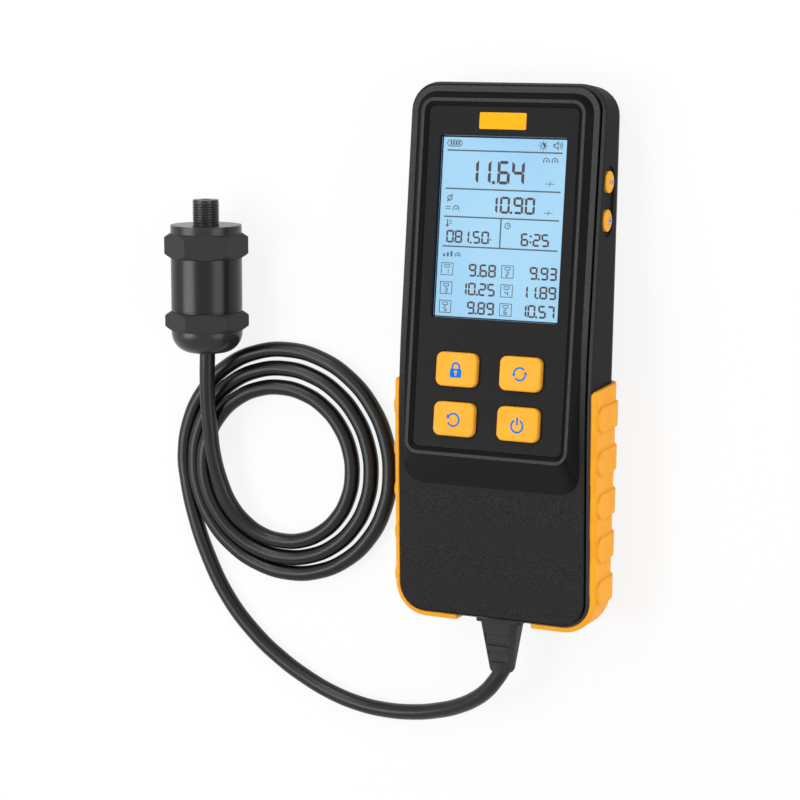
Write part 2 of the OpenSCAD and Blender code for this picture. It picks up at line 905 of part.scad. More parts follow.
// Bent spring leaf at the flat end and a plain plate at the nub end of each cell
module battery_contacts() {
    plate = cell_d - 2 * contact_in;
    reach = contact_room - fit_gap;
    root = leaf_t / 2;
    color(steel) for (place = [-1, 0, 1]) {
        turn = place == 0 ? 180 : 0;
        translate([place * cell_pitch, bay_y, cell_z]) rotate(turn) {
            translate([-plate / 2, bay_half_l - leaf_t, -plate / 2]) cube([plate, leaf_t, plate]);
            translate([0, cell_l / 2 + fit_gap / 2, 0]) rotate([-90, 0, 0])
                cylinder(d = contact_d, h = contact_room - 2 * fit_gap);
            translate([-plate / 2, -bay_half_l, -plate / 2]) cube([plate, leaf_t, plate]);
            translate([-leaf_w / 2, -bay_half_l, 0]) rotate([90, 0, 90]) linear_extrude(leaf_w) polygon([
                [root, leaf_rise], [reach, leaf_t], [reach, -leaf_t], [root, -leaf_rise],
                [root, 1.5 * leaf_t - leaf_rise], [reach - leaf_t, 0], [root, leaf_rise - 1.5 * leaf_t]
            ]);
        }
    }
}

module door_tongues(grow) {
    for (x = [-1, 1])
        translate([x * bay_half_w / 2, bay_y + door_half_l - tongue_in, door_seat - door_t / 2])
            translate([-tongue_w / 2 - grow, 0, -grow])
                cube([tongue_w + 2 * grow, tongue_l + grow, door_t / 2 + grow]);
}

module battery_door() {
    color(dark) difference() {
        union() {
            translate([0, bay_y, 0]) slab(2 * door_half_w, 2 * door_half_l, door_r, door_sink, door_seat);
            door_tongues(0);
        }
        translate([0, door_screw_y, -1]) cylinder(d = door_screw_d + 4 * fit_gap, h = door_seat + 2);
        translate([0, door_screw_y, 0])
            cylinder(d = 2 * door_screw_d + 4 * fit_gap, h = door_seat - door_head_in);
        for (i = [-pull_ribs:pull_ribs])
            translate([0, bay_y + bay_half_l - pull_in + pull_pitch * i, door_sink]) rotate([0, 90, 0])
                cylinder(d = pull_d, h = pull_l, center = true);
    }
}

module door_screw() {
    color(steel) translate([0, door_screw_y, 0]) difference() {
        union() {
            translate([0, 0, door_seat - door_head_in - door_head_t])
                cylinder(d = 2 * door_screw_d, h = door_head_t);
            translate([0, 0, door_seat - door_head_t]) cylinder(d = door_screw_d, h = door_screw_l);
        }
        screw_cross(door_seat - door_head_in - door_head_t, door_screw_d);
    }
}

module screw_cross(low, size) {
    for (turn = [0, 90])
        rotate(turn) translate([-size / 2, -size / 8, low - 1]) cube([size, size / 4, 1.6]);
}

module case_screws() {
    color(steel) for (spot = case_spots) {
        translate([spot[0], spot[1], 0]) difference() {
            union() {
                translate([0, 0, case_seat - case_head_t]) cylinder(d = case_head_d, h = case_head_t);
                translate([0, 0, case_seat - case_head_t / 2])
                    cylinder(d = case_screw_d, h = spot[2] + case_bite - case_seat + case_head_t / 2);
            }
            screw_cross(case_seat - case_head_t, case_head_d / 2);
        }
    }
}

// Strain relief: collar in the wall, outer flange and tapered sleeve with two notches each side
module at_relief() {
    at_handle() translate([0, -handle_len - wall_bulge, -relief_depth]) rotate([90, 0, 0]) children();
}

module relief_hole() {
    at_relief() translate([0, 0, -2 * wall]) linear_extrude(3 * wall)
        rounded(relief_neck[0] + 2 * fit_gap, relief_neck[1] + 2 * fit_gap, 2);
}

module strain_relief() {
    root = relief_flange[2];
    lip = -wall - relief_seat;
    color(black) at_relief() {
        slab(relief_flange[0], relief_flange[1], 1.5, relief_seat, root);
        slab(relief_neck[0], relief_neck[1], 2, lip - relief_lip, root);
        slab(relief_flange[0] - relief_lip, relief_flange[1], 1.5, lip - relief_lip, lip);
        difference() {
            hull() {
                slab(relief_root, relief_flange[1], 2.5, root - skin, root, $fn = soft_fn);
                translate([0, 0, relief_l - relief_lip]) cylinder(d = relief_end_d, h = skin, $fn = soft_fn);
                translate([0, 0, relief_l - skin])
                    cylinder(d = relief_end_d - relief_lip, h = skin, $fn = soft_fn);
            }
            for (side = [-1, 1])
                for (step = [0, 1])
                    translate([0, side * relief_flange[1] / 2, notch_at + notch_pitch * step])
                        cube([notch[0] - notch_taper * step, notch[1], notch[2]], center = true);
        }
    }
}

// Lead: a tube swept along points, one ring of corners at each
function unit(v) = v / norm(v);
function heading(points, i) = unit(
    points[min(i + 1, len(points) - 1)] - points[max(i - 1, 0)]
);
function across(points, i) = unit(cross(heading(points, i), [0, 0, 1]));
function ring_point(points, i, a) = points[i] + lead_d / 2 * (
    cos(a) * across(points, i) + sin(a) * cross(across(points, i), heading(points, i))
);

module tube(points) {
    sides = 10;
    last = len(points) - 1;
    corners = [for (i = [0:last]) for (s = [0:sides - 1]) ring_point(points, i, 360 * s / sides)];
    walls = [
        for (i = [0:last - 1])
            for (s = [0:sides - 1])
                [
                    i * sides + s, i * sides + (s + 1) % sides,
                    (i + 1) * sides + (s + 1) % sides, (i + 1) * sides + s
                ]
    ];
    first_end = [for (s = [sides - 1:-1:0]) s];
    last_end = [for (s = [0:sides - 1]) last * sides + s];
    polyhedron(corners, concat(walls, [first_end, last_end]), convexity = 6);
}

module cable_tail() {
    color(black) tube(tail_points);
}

module cable_lead() {
    color(black) tube(lead_points);
}

module cable_coil() {
    color(black) translate([coil_mid[0], coil_mid[1], lead_d / 2]) rotate_extrude() {
        translate([coil_mid_r - coil_band / 2 + lead_d / 2, 0]) circle(d = lead_d);
        translate([coil_mid_r + coil_band / 2 - lead_d / 2, 0]) circle(d = lead_d);
        translate([coil_mid_r - coil_band / 2 + lead_d / 2, -lead_d / 2]) square([coil_band - lead_d, lead_d]);
    }
}

// Sensor
module hexagon(low, length) {
    face_r2 = hex_af / 2 - skin;
    intersection() {
        translate([0, 0, low]) rotate(30) cylinder(r = hex_r, h = length, $fn = 6);
        translate([0, 0, low]) rotate_extrude() polygon([
            [0, 0], [face_r2, 0], [hex_r, hex_chamfer], [hex_r, length - hex_chamfer],
            [face_r2, length], [0, length]
        ]);
    }
}

module sensor_port() {
    color(metal) at_sensor() difference() {
        union() {
            hexagon(barrel_top, upper_hex_l);
            translate([0, 0, barrel_top - spigot_l]) cylinder(r = bore_r - fit_gap / 2, h = spigot_l + 1);
            translate([0, 0, hex_top - 1]) cylinder(d = barrel_d, h = collar_l + 1);
            translate([0, 0, collar_top - 1]) cylinder(d = thread_d, h = thread_l + 1);
        }
        translate([0, 0, barrel_top - spigot_l - 1]) cylinder(d = port_d, h = stub_top);
        translate([0, 0, barrel_top - spigot_l - 1]) cylinder(d = cell_face_d + fit_gap, h = cell_face_t + 1);
        translate([0, 0, barrel_top - spigot_l + cell_face_t - 1])
            cylinder(d = port_d + 2 * seal_d + 2, h = 1 + seal_d);
    }
}

module sensor_barrel() {
    shoulder = 0.8;
    color(metal) at_sensor() difference() {
        union() {
            translate([0, 0, cap_top]) cylinder(d = barrel_d - shoulder, h = barrel_l);
            translate([0, 0, cap_top + shoulder]) cylinder(d = barrel_d, h = barrel_l - shoulder);
        }
        translate([0, 0, cap_top - 1]) cylinder(r = bore_r, h = barrel_l + 2);
    }
}

module dome_profile() {
    square([barrel_d / 2 - dome_r, dome_l]);
    translate([0, dome_r]) square([barrel_d / 2, dome_l - dome_r]);
    translate([barrel_d / 2 - dome_r, dome_r]) circle(dome_r);
}

module sensor_cap() {
    color(metal) at_sensor() difference() {
        union() {
            intersection() {
                rotate_extrude() intersection() {
                    dome_profile();
                    square([barrel_d, dome_l]);
                }
                cylinder(d = 2 * barrel_d, h = dome_l);
            }
            hexagon(dome_l, lower_hex_l);
            translate([0, 0, cap_top - 1]) cylinder(r = bore_r - fit_gap / 2, h = spigot_l + 1);
        }
        translate([0, 0, dome_l]) cylinder(r = bore_r - barrel_wall, h = cap_top);
        translate([0, 0, dome_l - grommet_l]) cylinder(d = 2 * lead_d, h = grommet_l + 1);
    }
}

module pressure_cell() {
    color(steel) at_sensor() translate([0, 0, barrel_top - spigot_l]) difference() {
        cylinder(d = cell_face_d, h = cell_face_t - 0.05);
        translate([0, 0, cell_face_t - 1.2]) cylinder(d = port_d, h = 2);
    }
}

module cell_seal() {
    color("#222222") at_sensor() translate([0, 0, barrel_top - spigot_l + cell_face_t + seal_d / 2])
        rotate_extrude() translate([port_d / 2 + seal_d / 2 + 0.9, 0])
            circle(d = seal_d - fit_gap, $fn = soft_fn);
}

module sensor_board() {
    color("#1f6b3a") at_sensor() translate([0, 0, barrel_top - spigot_l - sense_board_t - 0.05])
        cylinder(r = bore_r - 0.3, h = sense_board_t);
}

module cable_grommet() {
    color("#222222") at_sensor() translate([0, 0, dome_l - grommet_l])
        cylinder(d = 2 * lead_d - fit_gap, h = grommet_l + 2);
}

front_shell();
rear_shell();
face_panel();
left_grip();
right_grip();
display_window();
lcd_glass();
backlight();
main_board();
board_screws();
lock_key();
cycle_key();
undo_key();
power_key();
key_switches();
mode_button();
light_button();
side_board();
side_switches();
controller_chip();
buzzer();
battery_1();
battery_2();
battery_3();
battery_contacts();
battery_door();
door_screw();
case_screws();
strain_relief();
cable_tail();
cable_coil();
cable_lead();
sensor_port();
sensor_barrel();
sensor_cap();
pressure_cell();
cell_seal();
sensor_board();
cable_grommet();
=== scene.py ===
import json
import math

import bmesh
import bpy
from mathutils import Matrix, Vector


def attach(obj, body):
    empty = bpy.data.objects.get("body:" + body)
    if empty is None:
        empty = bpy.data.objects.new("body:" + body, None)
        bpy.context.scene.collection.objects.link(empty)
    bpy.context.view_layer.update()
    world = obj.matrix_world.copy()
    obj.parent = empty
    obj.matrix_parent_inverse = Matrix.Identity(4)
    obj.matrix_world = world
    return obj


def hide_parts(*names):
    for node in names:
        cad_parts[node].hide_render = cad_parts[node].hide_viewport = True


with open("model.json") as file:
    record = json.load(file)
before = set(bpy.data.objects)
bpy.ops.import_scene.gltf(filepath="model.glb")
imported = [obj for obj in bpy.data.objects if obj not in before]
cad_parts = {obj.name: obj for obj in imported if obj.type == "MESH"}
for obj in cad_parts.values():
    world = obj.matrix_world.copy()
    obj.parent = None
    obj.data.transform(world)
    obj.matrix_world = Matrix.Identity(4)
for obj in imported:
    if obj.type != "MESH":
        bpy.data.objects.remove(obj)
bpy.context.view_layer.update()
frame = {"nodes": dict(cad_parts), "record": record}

MM = 0.001
HOUSING = "housing"

# Sizes of the gauge, in millimetres, as in the part's source
HEAD_TILT = 6.5
VERTEX = (0.0, -12.0, 31.0)
GLASS_Z = -2.2
PANEL_Z = 0.9
RIDGE_Z = 2.1
KEY_TOP = 3.0
KEY_COLUMN = 12.85
KEY_ROWS = (4.2, -14.2)
BUTTONS_Y = 68.5
BUTTON_PITCH = 14.0
BUTTON_DEPTH = 9.0
BUTTON_TOP = 40.1
BUTTON_CURVE = 8.0
SENSOR = (-129.5, -10.5, 16.512)
STUB_START = 50.5
STUB_RADIUS = 5.0
LEAD_RADIUS = 3.1

# Start and end of the sensor's two hexagons, along Y
HEXAGONS = ((-1.5, 5.9), (27.1, 36.8))

# The head's frame, whose z = 0 is the face, and the sensor's, whose z is its axis
HEAD = (
    Matrix.Scale(MM, 4)
    @ Matrix.Translation(VERTEX)
    @ Matrix.Rotation(math.radians(-HEAD_TILT), 4, "X")
)
SENSOR_AXIS = (
    Matrix.Scale(MM, 4)
    @ Matrix.Translation(SENSOR)
    @ Matrix.Rotation(math.radians(-90), 4, "X")
)

# Height of the frame's crest along the face's normal
FACE_NORMAL = (HEAD.to_3x3() @ Vector((0.0, 0.0, 1.0))).normalized()
CREST = (HEAD @ Vector((0.0, 0.0, RIDGE_Z))).dot(FACE_NORMAL)


# Camera, as fitted to the photograph

CAMERA_PLACE = (0.36761, 0.1246, 0.84254)
CAMERA_RIGHT = Vector((0.89484, 0.00098, -0.44638))
CAMERA_DOWN = Vector((0.07162, -0.98736, 0.14141))
CAMERA_FORWARD = Vector((-0.44060, -0.15850, -0.88360))
SENSOR_WIDTH = 36.0
FOCAL_LENGTH = 110.25
CLIP_START = 0.01


def place_camera():
    lens = bpy.data.cameras.new("studio_camera")
    lens.sensor_width = SENSOR_WIDTH
    lens.lens = FOCAL_LENGTH
    lens.clip_start = CLIP_START
    camera = bpy.data.objects.new("studio_camera", lens)
    turn = Matrix((CAMERA_RIGHT, -CAMERA_DOWN, -CAMERA_FORWARD)).transposed().to_4x4()
    camera.matrix_world = Matrix.Translation(CAMERA_PLACE) @ turn
    bpy.context.collection.objects.link(camera)
    bpy.context.scene.camera = camera


place_camera()


# Node helpers: each adds a node and gives back its output

def linear(code):
    shares = [int(code[i:i + 2], 16) / 255 for i in (1, 3, 5)]
    return tuple(
        s / 12.92 if s <= 0.04045 else ((s + 0.055) / 1.055) ** 2.4 for s in shares
    ) + (1.0,)


def noise(nodes, links, scale, detail=2.0, stretch=None):
    spot = nodes.new("ShaderNodeTexCoord").outputs["Object"]
    grain = nodes.new("ShaderNodeTexNoise")
    grain.inputs["Scale"].default_value = scale
    grain.inputs["Detail"].default_value = detail
    if stretch:
        turn = nodes.new("ShaderNodeMapping")
        turn.inputs["Scale"].default_value = stretch
        links.new(spot, turn.inputs["Vector"])
        spot = turn.outputs["Vector"]
    links.new(spot, grain.inputs["Vector"])
    return grain.outputs["Fac"]


def along(nodes, links, kind, axis):
    """One axis of the Object or Normal coordinates."""
    place = nodes.new("ShaderNodeTexCoord")
    split = nodes.new("ShaderNodeSeparateXYZ")
    links.new(place.outputs[kind], split.inputs["Vector"])
    return split.outputs[axis]


def two_tones(nodes, links, value, dark, light, low=0.35, high=0.65):
    """Colours between two codes, as the value runs from low to high."""
    ramp = nodes.new("ShaderNodeValToRGB")
    stops = ramp.color_ramp.elements
    stops[0].position = low
    stops[0].color = linear(dark)
    stops[1].position = high
    stops[1].color = linear(light)
    links.new(value, ramp.inputs["Fac"])
    return ramp.outputs["Color"]


def mapped(nodes, links, value, source=(0.0, 1.0), target=(0.0, 1.0)):
    """The value, taken from the source range to the target range."""
    spread = nodes.new("ShaderNodeMapRange")
    spread.inputs["From Min"].default_value = source[0]
    spread.inputs["From Max"].default_value = source[1]
    spread.inputs["To Min"].default_value = target[0]
    spread.inputs["To Max"].default_value = target[1]
    links.new(value, spread.inputs["Value"])
    return spread.outputs["Result"]


def blended(nodes, links, factor, first, second):
    """A mix of two colours, each an output or a colour code."""
    mix = nodes.new("ShaderNodeMix")
    mix.data_type = "RGBA"
    links.new(factor, mix.inputs["Factor"])
    for socket, colour in (("A", first), ("B", second)):
        if isinstance(colour, str):
            mix.inputs[socket].default_value = linear(colour)
        else:
            links.new(colour, mix.inputs[socket])
    return mix.outputs["Result"]


def reckoned(nodes, links, operation, *values):
    """A math node, whose values are outputs or plain numbers."""
    step = nodes.new("ShaderNodeMath")
    step.operation = operation
    for i, value in enumerate(values):
        if isinstance(value, float):
            step.inputs[i].default_value = value
        else:
            links.new(value, step.inputs[i])
    return step.outputs["Value"]


def between(nodes, links, value, low, high):
    """1 where the value lies between two millimetre marks, else 0."""
    middle = (low + high) / 2 * MM
    reach = (high - low) / 2 * MM
    return reckoned(nodes, links, "COMPARE", value, middle, reach)


# Materials

FINE_BUMP = 0.0001
EDGE_SAMPLES = 4

# Front shell: flat and sloping parts by the normal's Z, with painted shade on the slopes; head and
# handle by the place's Y in metres, with painted light on the head; and the width of the painted
# highlight along the crest
FLAT_NORMAL = (0.93, 0.97)
SLOPE_SHADE_NORMAL = (0.82, 0.9)
LIT_HEAD_START = (-0.04, 0.02)
CREST_HIGHLIGHT_BAND = 0.25 * MM
SHELL_BUMP = 0.00022
SHELL_EDGE = 0.0005

# Rear shell: from wall to shoulder by the normal's Z, with the specular level of each
SHOULDER_NORMAL = (0.15, 0.55)
SHOULDER_GLOSS = (0.02, 0.3)

# Grips: how far round a crease the painted shade reaches, and the open share at which the painted
# shade starts and ends
CREASE_SHADE_REACH = 0.002
CREASE_SHADE_SAMPLES = 8
CREASE_SHADE_SHARE = (0.5, 0.95)

METAL_EDGE = 0.0003
RUBBER_EDGE = 0.0004
WINDOW_ALPHA = 0.06
DISPLAY_GLOW = 0.98


def start_material(name, roughness=0.5, metallic=0.0, specular=0.5):
    material = bpy.data.materials.new(name)
    material.use_nodes = True
    shader = material.node_tree.nodes["Principled BSDF"]
    shader.inputs["Roughness"].default_value = roughness
    shader.inputs["Metallic"].default_value = metallic
    shader.inputs["Specular IOR Level"].default_value = specular
    return material, material.node_tree.nodes, material.node_tree.links, shader


def grained(nodes, links, shader, grain, dark, light, roughness):
    links.new(two_tones(nodes, links, grain, dark, light), shader.inputs["Base Color"])
    links.new(mapped(nodes, links, grain, target=roughness), shader.inputs["Roughness"])


def relief(nodes, links, shader, height, strength, distance=FINE_BUMP, soft_edge=None):
    bump = nodes.new("ShaderNodeBump")
    bump.inputs["Strength"].default_value = strength
    bump.inputs["Distance"].default_value = distance
    links.new(height, bump.inputs["Height"])
    if soft_edge:
        edge = nodes.new("ShaderNodeBevel")
        edge.samples = EDGE_SAMPLES
        edge.inputs["Radius"].default_value = soft_edge
        links.new(edge.outputs["Normal"], bump.inputs["Normal"])
    links.new(bump.outputs["Normal"], shader.inputs["Normal"])


def moulded(name, dark, light, scale, roughness, bump, specular=0.5, soft_edge=None):
    material, nodes, links, shader = start_material(name, roughness[0], specular=specular)
    grain = noise(nodes, links, scale)
    grained(nodes, links, shader, grain, dark, light, roughness)
    relief(nodes, links, shader, grain, bump, soft_edge=soft_edge)
    return material


def plated_steel():
    material, nodes, links, shader = start_material("bright_steel", 0.25, 1.0)
    grain = noise(nodes, links, 900.0, 3.0, (1.0, 0.12, 1.0))
    grained(nodes, links, shader, grain, "#a8abae", "#c4c7ca", (0.25, 0.38))
    relief(nodes, links, shader, grain, 0.08)
    return material


def front_shell_black():
    """Grained face; grained rim on the head, lighter partly by its tone and partly by painted
    light; a painted highlight along the crest; smooth slopes darkened by painted shade, the steeper
    the darker.
    """
    material, nodes, links, shader = start_material("textured_black", 0.6, specular=0.06)
    grain = noise(nodes, links, 2600.0)
    # Tones of the face, of the head's rim (lighter partly by painted light), and of the crest's
    # painted highlight
    face, rim_tone_and_light, crest_highlight = [
        two_tones(nodes, links, grain, dark, light, 0.36, 0.66)
        for dark, light in (("#1e1e1f", "#353536"), ("#3a3a3b", "#4e4e4f"), ("#39393a", "#505051"))
    ]
    normal_z = along(nodes, links, "Normal", "Z")
    # Painted shade: the slopes darken as they steepen
    slope_shade = two_tones(nodes, links, normal_z, "#101011", "#1f1f1f", *SLOPE_SHADE_NORMAL)
    is_flat = mapped(nodes, links, normal_z, FLAT_NORMAL)
    # Painted light: the head's flat parts take the lighter rim tones
    is_lit_head = mapped(nodes, links, along(nodes, links, "Object", "Y"), LIT_HEAD_START)

    # Painted highlight: a lighter band along the top of the crest
    place = nodes.new("ShaderNodeTexCoord")
    height = nodes.new("ShaderNodeVectorMath")
    height.operation = "DOT_PRODUCT"
    height.inputs[1].default_value = FACE_NORMAL
    links.new(place.outputs["Object"], height.inputs[0])
    is_crest_highlight = mapped(nodes, links, height.outputs["Value"], (CREST - CREST_HIGHLIGHT_BAND, CREST))

    level = blended(nodes, links, is_lit_head, face, rim_tone_and_light)
    level = blended(nodes, links, is_crest_highlight, level, crest_highlight)
    colour = blended(nodes, links, is_flat, slope_shade, level)
    links.new(colour, shader.inputs["Base Color"])
    roughness = mapped(nodes, links, is_flat, target=(0.45, 0.68))
    links.new(roughness, shader.inputs["Roughness"])
    depth = reckoned(nodes, links, "MULTIPLY", grain, is_flat)
    relief(nodes, links, shader, depth, 0.5, SHELL_BUMP, SHELL_EDGE)
    return material


def rear_shell_black():
    """Smooth walls with a glossier shoulder."""
    material, nodes, links, shader = start_material("smooth_black", 0.42)
    grain = noise(nodes, links, 900.0)
    grained(nodes, links, shader, grain, "#202021", "#272728", (0.4, 0.48))
    relief(nodes, links, shader, grain, 0.06)
    normal_z = along(nodes, links, "Normal", "Z")
    gloss = mapped(nodes, links, normal_z, SHOULDER_NORMAL, SHOULDER_GLOSS)
    links.new(gloss, shader.inputs["Specular IOR Level"])
    return material


def sensor_metal():
    """Polished dark barrel between matt hexagons, and satin ends."""
    material, nodes, links, shader = start_material("dark_metal", 0.3, specular=0.32)
    lower, upper = HEXAGONS
    y = along(nodes, links, "Object", "Y")
    is_lower = between(nodes, links, y, *lower)
    is_upper = between(nodes, links, y, *upper)
    is_hexagon = reckoned(nodes, links, "MAXIMUM", is_lower, is_upper)
    is_barrel = between(nodes, links, y, lower[1], upper[0])
    grain = noise(nodes, links, 2200.0)
    polished = two_tones(nodes, links, grain, "#08080a", "#0e0e10", 0.3, 0.7)
    satin = two_tones(nodes, links, grain, "#202021", "#282829", 0.3, 0.7)
    colour = blended(nodes, links, is_barrel, satin, polished)
    links.new(colour, shader.inputs["Base Color"])
    roughness = mapped(nodes, links, is_hexagon, target=(0.28, 0.62))
    links.new(roughness, shader.inputs["Roughness"])
    relief(nodes, links, shader, grain, 0.06, soft_edge=METAL_EDGE)
    return material


def grip_orange():
    """Orange rubber, with painted shade in the creases round its pads."""
    material, nodes, links, shader = start_material("orange_rubber", 0.5, specular=0.2)
    grain = noise(nodes, links, 140.0)
    tone = two_tones(nodes, links, grain, "#ffa81c", "#ffb22a")
    # Painted shade: ambient occlusion darkens the creases round the pads towards a deep orange
    crease_shade = nodes.new("ShaderNodeAmbientOcclusion")
    crease_shade.samples = CREASE_SHADE_SAMPLES
    crease_shade.only_local = True
    crease_shade.inputs["Distance"].default_value = CREASE_SHADE_REACH
    is_unshaded = mapped(nodes, links, crease_shade.outputs["AO"], CREASE_SHADE_SHARE)
    colour = blended(nodes, links, is_unshaded, "#c46a04", tone)
    links.new(colour, shader.inputs["Base Color"])
    roughness = mapped(nodes, links, grain, target=(0.46, 0.54))
    links.new(roughness, shader.inputs["Roughness"])
    relief(nodes, links, shader, grain, 0.06)
    return material


def lit_display():
    material, nodes, links, shader = start_material("lit_display", 0.5, specular=0.1)
    grain = noise(nodes, links, 28.0, 1.0)
    glow = two_tones(nodes, links, grain, "#a6d8fb", "#b2e2ff", 0.3, 0.7)
    links.new(glow, shader.inputs["Emission Color"])
    shader.inputs["Base Color"].default_value = linear("#20303a")
    shader.inputs["Emission Strength"].default_value = DISPLAY_GLOW
    return material


def clear_window():
    material, nodes, links, shader = start_material("clear_window", 0.1, specular=0.3)
    shader.inputs["Alpha"].default_value = WINDOW_ALPHA
    grain = noise(nodes, links, 60.0, 1.0)
    grained(nodes, links, shader, grain, "#2a3238", "#343c42", (0.08, 0.12))
    return material


# Moulded pieces and inks: two tones, grain scale, roughness, bump, specular level and soft edge
MOULDED = {
    "panel_black": ("#1d1d1e", "#232324", 1500.0, (0.34, 0.4), 0.03, 0.055),
    "orange_key": ("#ffae2e", "#ffb538", 160.0, (0.46, 0.54), 0.04, 0.15),
    "white_diffuser": ("#e8e8e6", "#f4f4f2", 200.0, (0.5, 0.6), 0.05),
    "circuit_board": ("#14532c", "#1d6a3a", 700.0, (0.4, 0.5), 0.1),
    "black_component": ("#1b1b1c", "#242425", 900.0, (0.5, 0.65), 0.1),
    "cell_jacket": ("#2b3d46", "#374c56", 90.0, (0.25, 0.32), 0.03),
    "black_rubber": ("#262627", "#2e2e2f", 900.0, (0.48, 0.58), 0.1, 0.22, RUBBER_EDGE),
    "black_lead": ("#040405", "#080809", 700.0, (0.3, 0.36), 0.03, 0.34),
    "icon_blue": ("#0c74dc", "#147ee6", 400.0, (0.45, 0.55), 0.03, 0.04),
    "segment_ink": ("#4c4145", "#564a4e", 400.0, (0.5, 0.6), 0.02, 0.15),
    "label_ink": ("#54626e", "#5f6d79", 400.0, (0.5, 0.6), 0.02, 0.15),
    # Dark blue ink for the painted shade along the display glass's edges
    "edge_shade_ink": ("#1b2630", "#22303c", 400.0, (0.5, 0.6), 0.02, 0.15),
    "plate_yellow": ("#ffb006", "#ffb60c", 300.0, (0.4, 0.5), 0.02, 0.1),
}
FINISHES = {name: moulded(name, *look) for name, look in MOULDED.items()}
FINISHES.update({
    "textured_black": front_shell_black(),
    "smooth_black": rear_shell_black(),
    "orange_rubber": grip_orange(),
    "clear_window": clear_window(),
    "lcd_blue": lit_display(),
    "bright_steel": plated_steel(),
    "dark_metal": sensor_metal(),
})

for part in frame["record"]["subparts"]:
    solid = frame["nodes"][part["node"]]
    solid.data.materials.clear()
    solid.data.materials.append(FINISHES[part["material_slot"]])


# Lead: out of the strain relief, down to the table, round the coil and up to the sensor

TAIL = [
    (0.9, -122.4, 18.2), (-0.5, -124.8, 17.95), (-3.6, -129.2, 17.3), (-7.1, -133.2, 16.3),
    (-12, -137.2, 15), (-20.9, -142.2, 12.4), (-31.1, -146, 9.8), (-42.5, -148.8, 7.4),
    (-56.2, -150.2, 5.3), (-68.6, -149.6, 4), (-80.7, -146.9, 3.4), (-92.7, -142.1, 3.2),
    (-104.7, -135.4, 3.2), (-116.8, -126.2, 3.2), (-128.9, -112.9, 3.2), (-138.4, -96, 3.2),
    (-144.4, -80, 3.2), (-147.8, -65, 3.2),
]
LAST_STRETCH = [
    (-103.6, -86.6, 4.3), (-111.9, -84.8, 5), (-119.2, -80.1, 6.2), (-124.6, -73.1, 7.9),
    (-128.1, -63.9, 9.6), (-130.3, -53, 11.3), (-130.8, -41.8, 12.9), (-130.9, -30.6, 14.3),
    (-130.3, -19.8, 15.6), (-129.5, -10.5, 16.512),
]

# Sides of the coil: the turn at which the lead first meets a side, where, and its move per turn
COIL_LEFT = (0.0, -148.7, 5.85)
COIL_TOP = (0.25, -9.4, -7.55)
COIL_RIGHT = (0.5, -55.2, -8.35)
COIL_BOTTOM = (0.75, -99.6, 6.4)
COIL_Z = 3.2
COIL_RISE = 1.6
COIL_CLIMB = 0.5
COIL_STEPS = 20
COIL_POINTS = 55

LEAD_RESOLUTION = 8
LEAD_ROUNDNESS = 6


def coil_point(turns):
    left, right, top, bottom = [
        first + move * (turns - start)
        for start, first, move in (COIL_LEFT, COIL_RIGHT, COIL_TOP, COIL_BOTTOM)
    ]
    angle = 2 * math.pi * turns
    x = (left + right) / 2 - (right - left) / 2 * math.cos(angle)
    y = (top + bottom) / 2 + (top - bottom) / 2 * math.sin(angle)
    climb = COIL_RISE * turns + COIL_CLIMB * turns * (turns - 1)
    hump = climb * (0.5 + 0.5 * math.cos(angle)) ** 2
    return (x, y, COIL_Z + max(hump, 0.0))


def lay_lead():
    coil = [coil_point(i / COIL_STEPS) for i in range(COIL_POINTS)]
    route = [Vector(p) * MM for p in TAIL + coil + LAST_STRETCH]
    line = bpy.data.curves.new("sensor_lead", "CURVE")
    line.dimensions = "3D"
    line.resolution_u = LEAD_RESOLUTION
    line.bevel_depth = LEAD_RADIUS * MM
    line.bevel_resolution = LEAD_ROUNDNESS
    spline = line.splines.new("BEZIER")
    spline.bezier_points.add(len(route) - 1)
    for point, place in zip(spline.bezier_points, route):
        point.co = place
        point.handle_left_type = "AUTO"
        point.handle_right_type = "AUTO"
    lead = bpy.data.objects.new("sensor_lead", line)
    bpy.context.collection.objects.link(lead)
    line.materials.append(FINISHES["black_lead"])
    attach(lead, HOUSING)
    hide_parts("cable_tail", "cable_coil", "cable_lead")


lay_lead()


# Flat drawn shapes, in the millimetres of the surface that they lie on

ARC_STEP = 8
CORNER_STEPS = 3


def strip(shape, points):
    shape.faces.new([shape.verts.new((x, y, 0.0)) for x, y in points])


def bar(shape, x, y, width, height):
    strip(shape, [(x, y), (x + width, y), (x + width, y + height), (x, y + height)])


def arc(shape, x, y, radius, width, start, sweep):
    a = math.radians(start)
    ends = [
        shape.verts.new((x + r * math.cos(a), y + r * math.sin(a), 0.0))
        for r in (radius - width / 2, radius + width / 2)
    ]
    edge = shape.edges.new(ends)
    bmesh.ops.spin(
        shape, geom=ends + [edge], cent=(x, y, 0.0), axis=(0, 0, 1), dvec=(0, 0, 0),
        angle=math.radians(sweep), steps=max(4, int(abs(sweep) / ARC_STEP)),
        use_merge=abs(sweep) >= 360, use_duplicate=False,
    )


def disc(shape, x, y, radius, segments=24):
    made = bmesh.ops.create_circle(shape, cap_ends=True, segments=segments, radius=radius)
    bmesh.ops.translate(shape, verts=made["verts"], vec=(x, y, 0.0))


def frame_line(shape, x, y, width, height, line):
    bar(shape, x, y, width, line)
    bar(shape, x, y + height - line, width, line)
    bar(shape, x, y + line, line, height - 2 * line)
    bar(shape, x + width - line, y + line, line, height - 2 * line)


def rounded_block(shape, y, width, height, corner):
    made = bmesh.ops.create_grid(shape, x_segments=1, y_segments=1, size=0.5)
    bmesh.ops.scale(shape, verts=made["verts"], vec=(width, height, 1.0))
    bmesh.ops.translate(shape, verts=made["verts"], vec=(0.0, y, 0.0))
    bmesh.ops.bevel(
        shape, geom=shape.verts[:], offset=corner, segments=CORNER_STEPS, profile=0.5,
        affect="VERTICES", material=-1,
    )


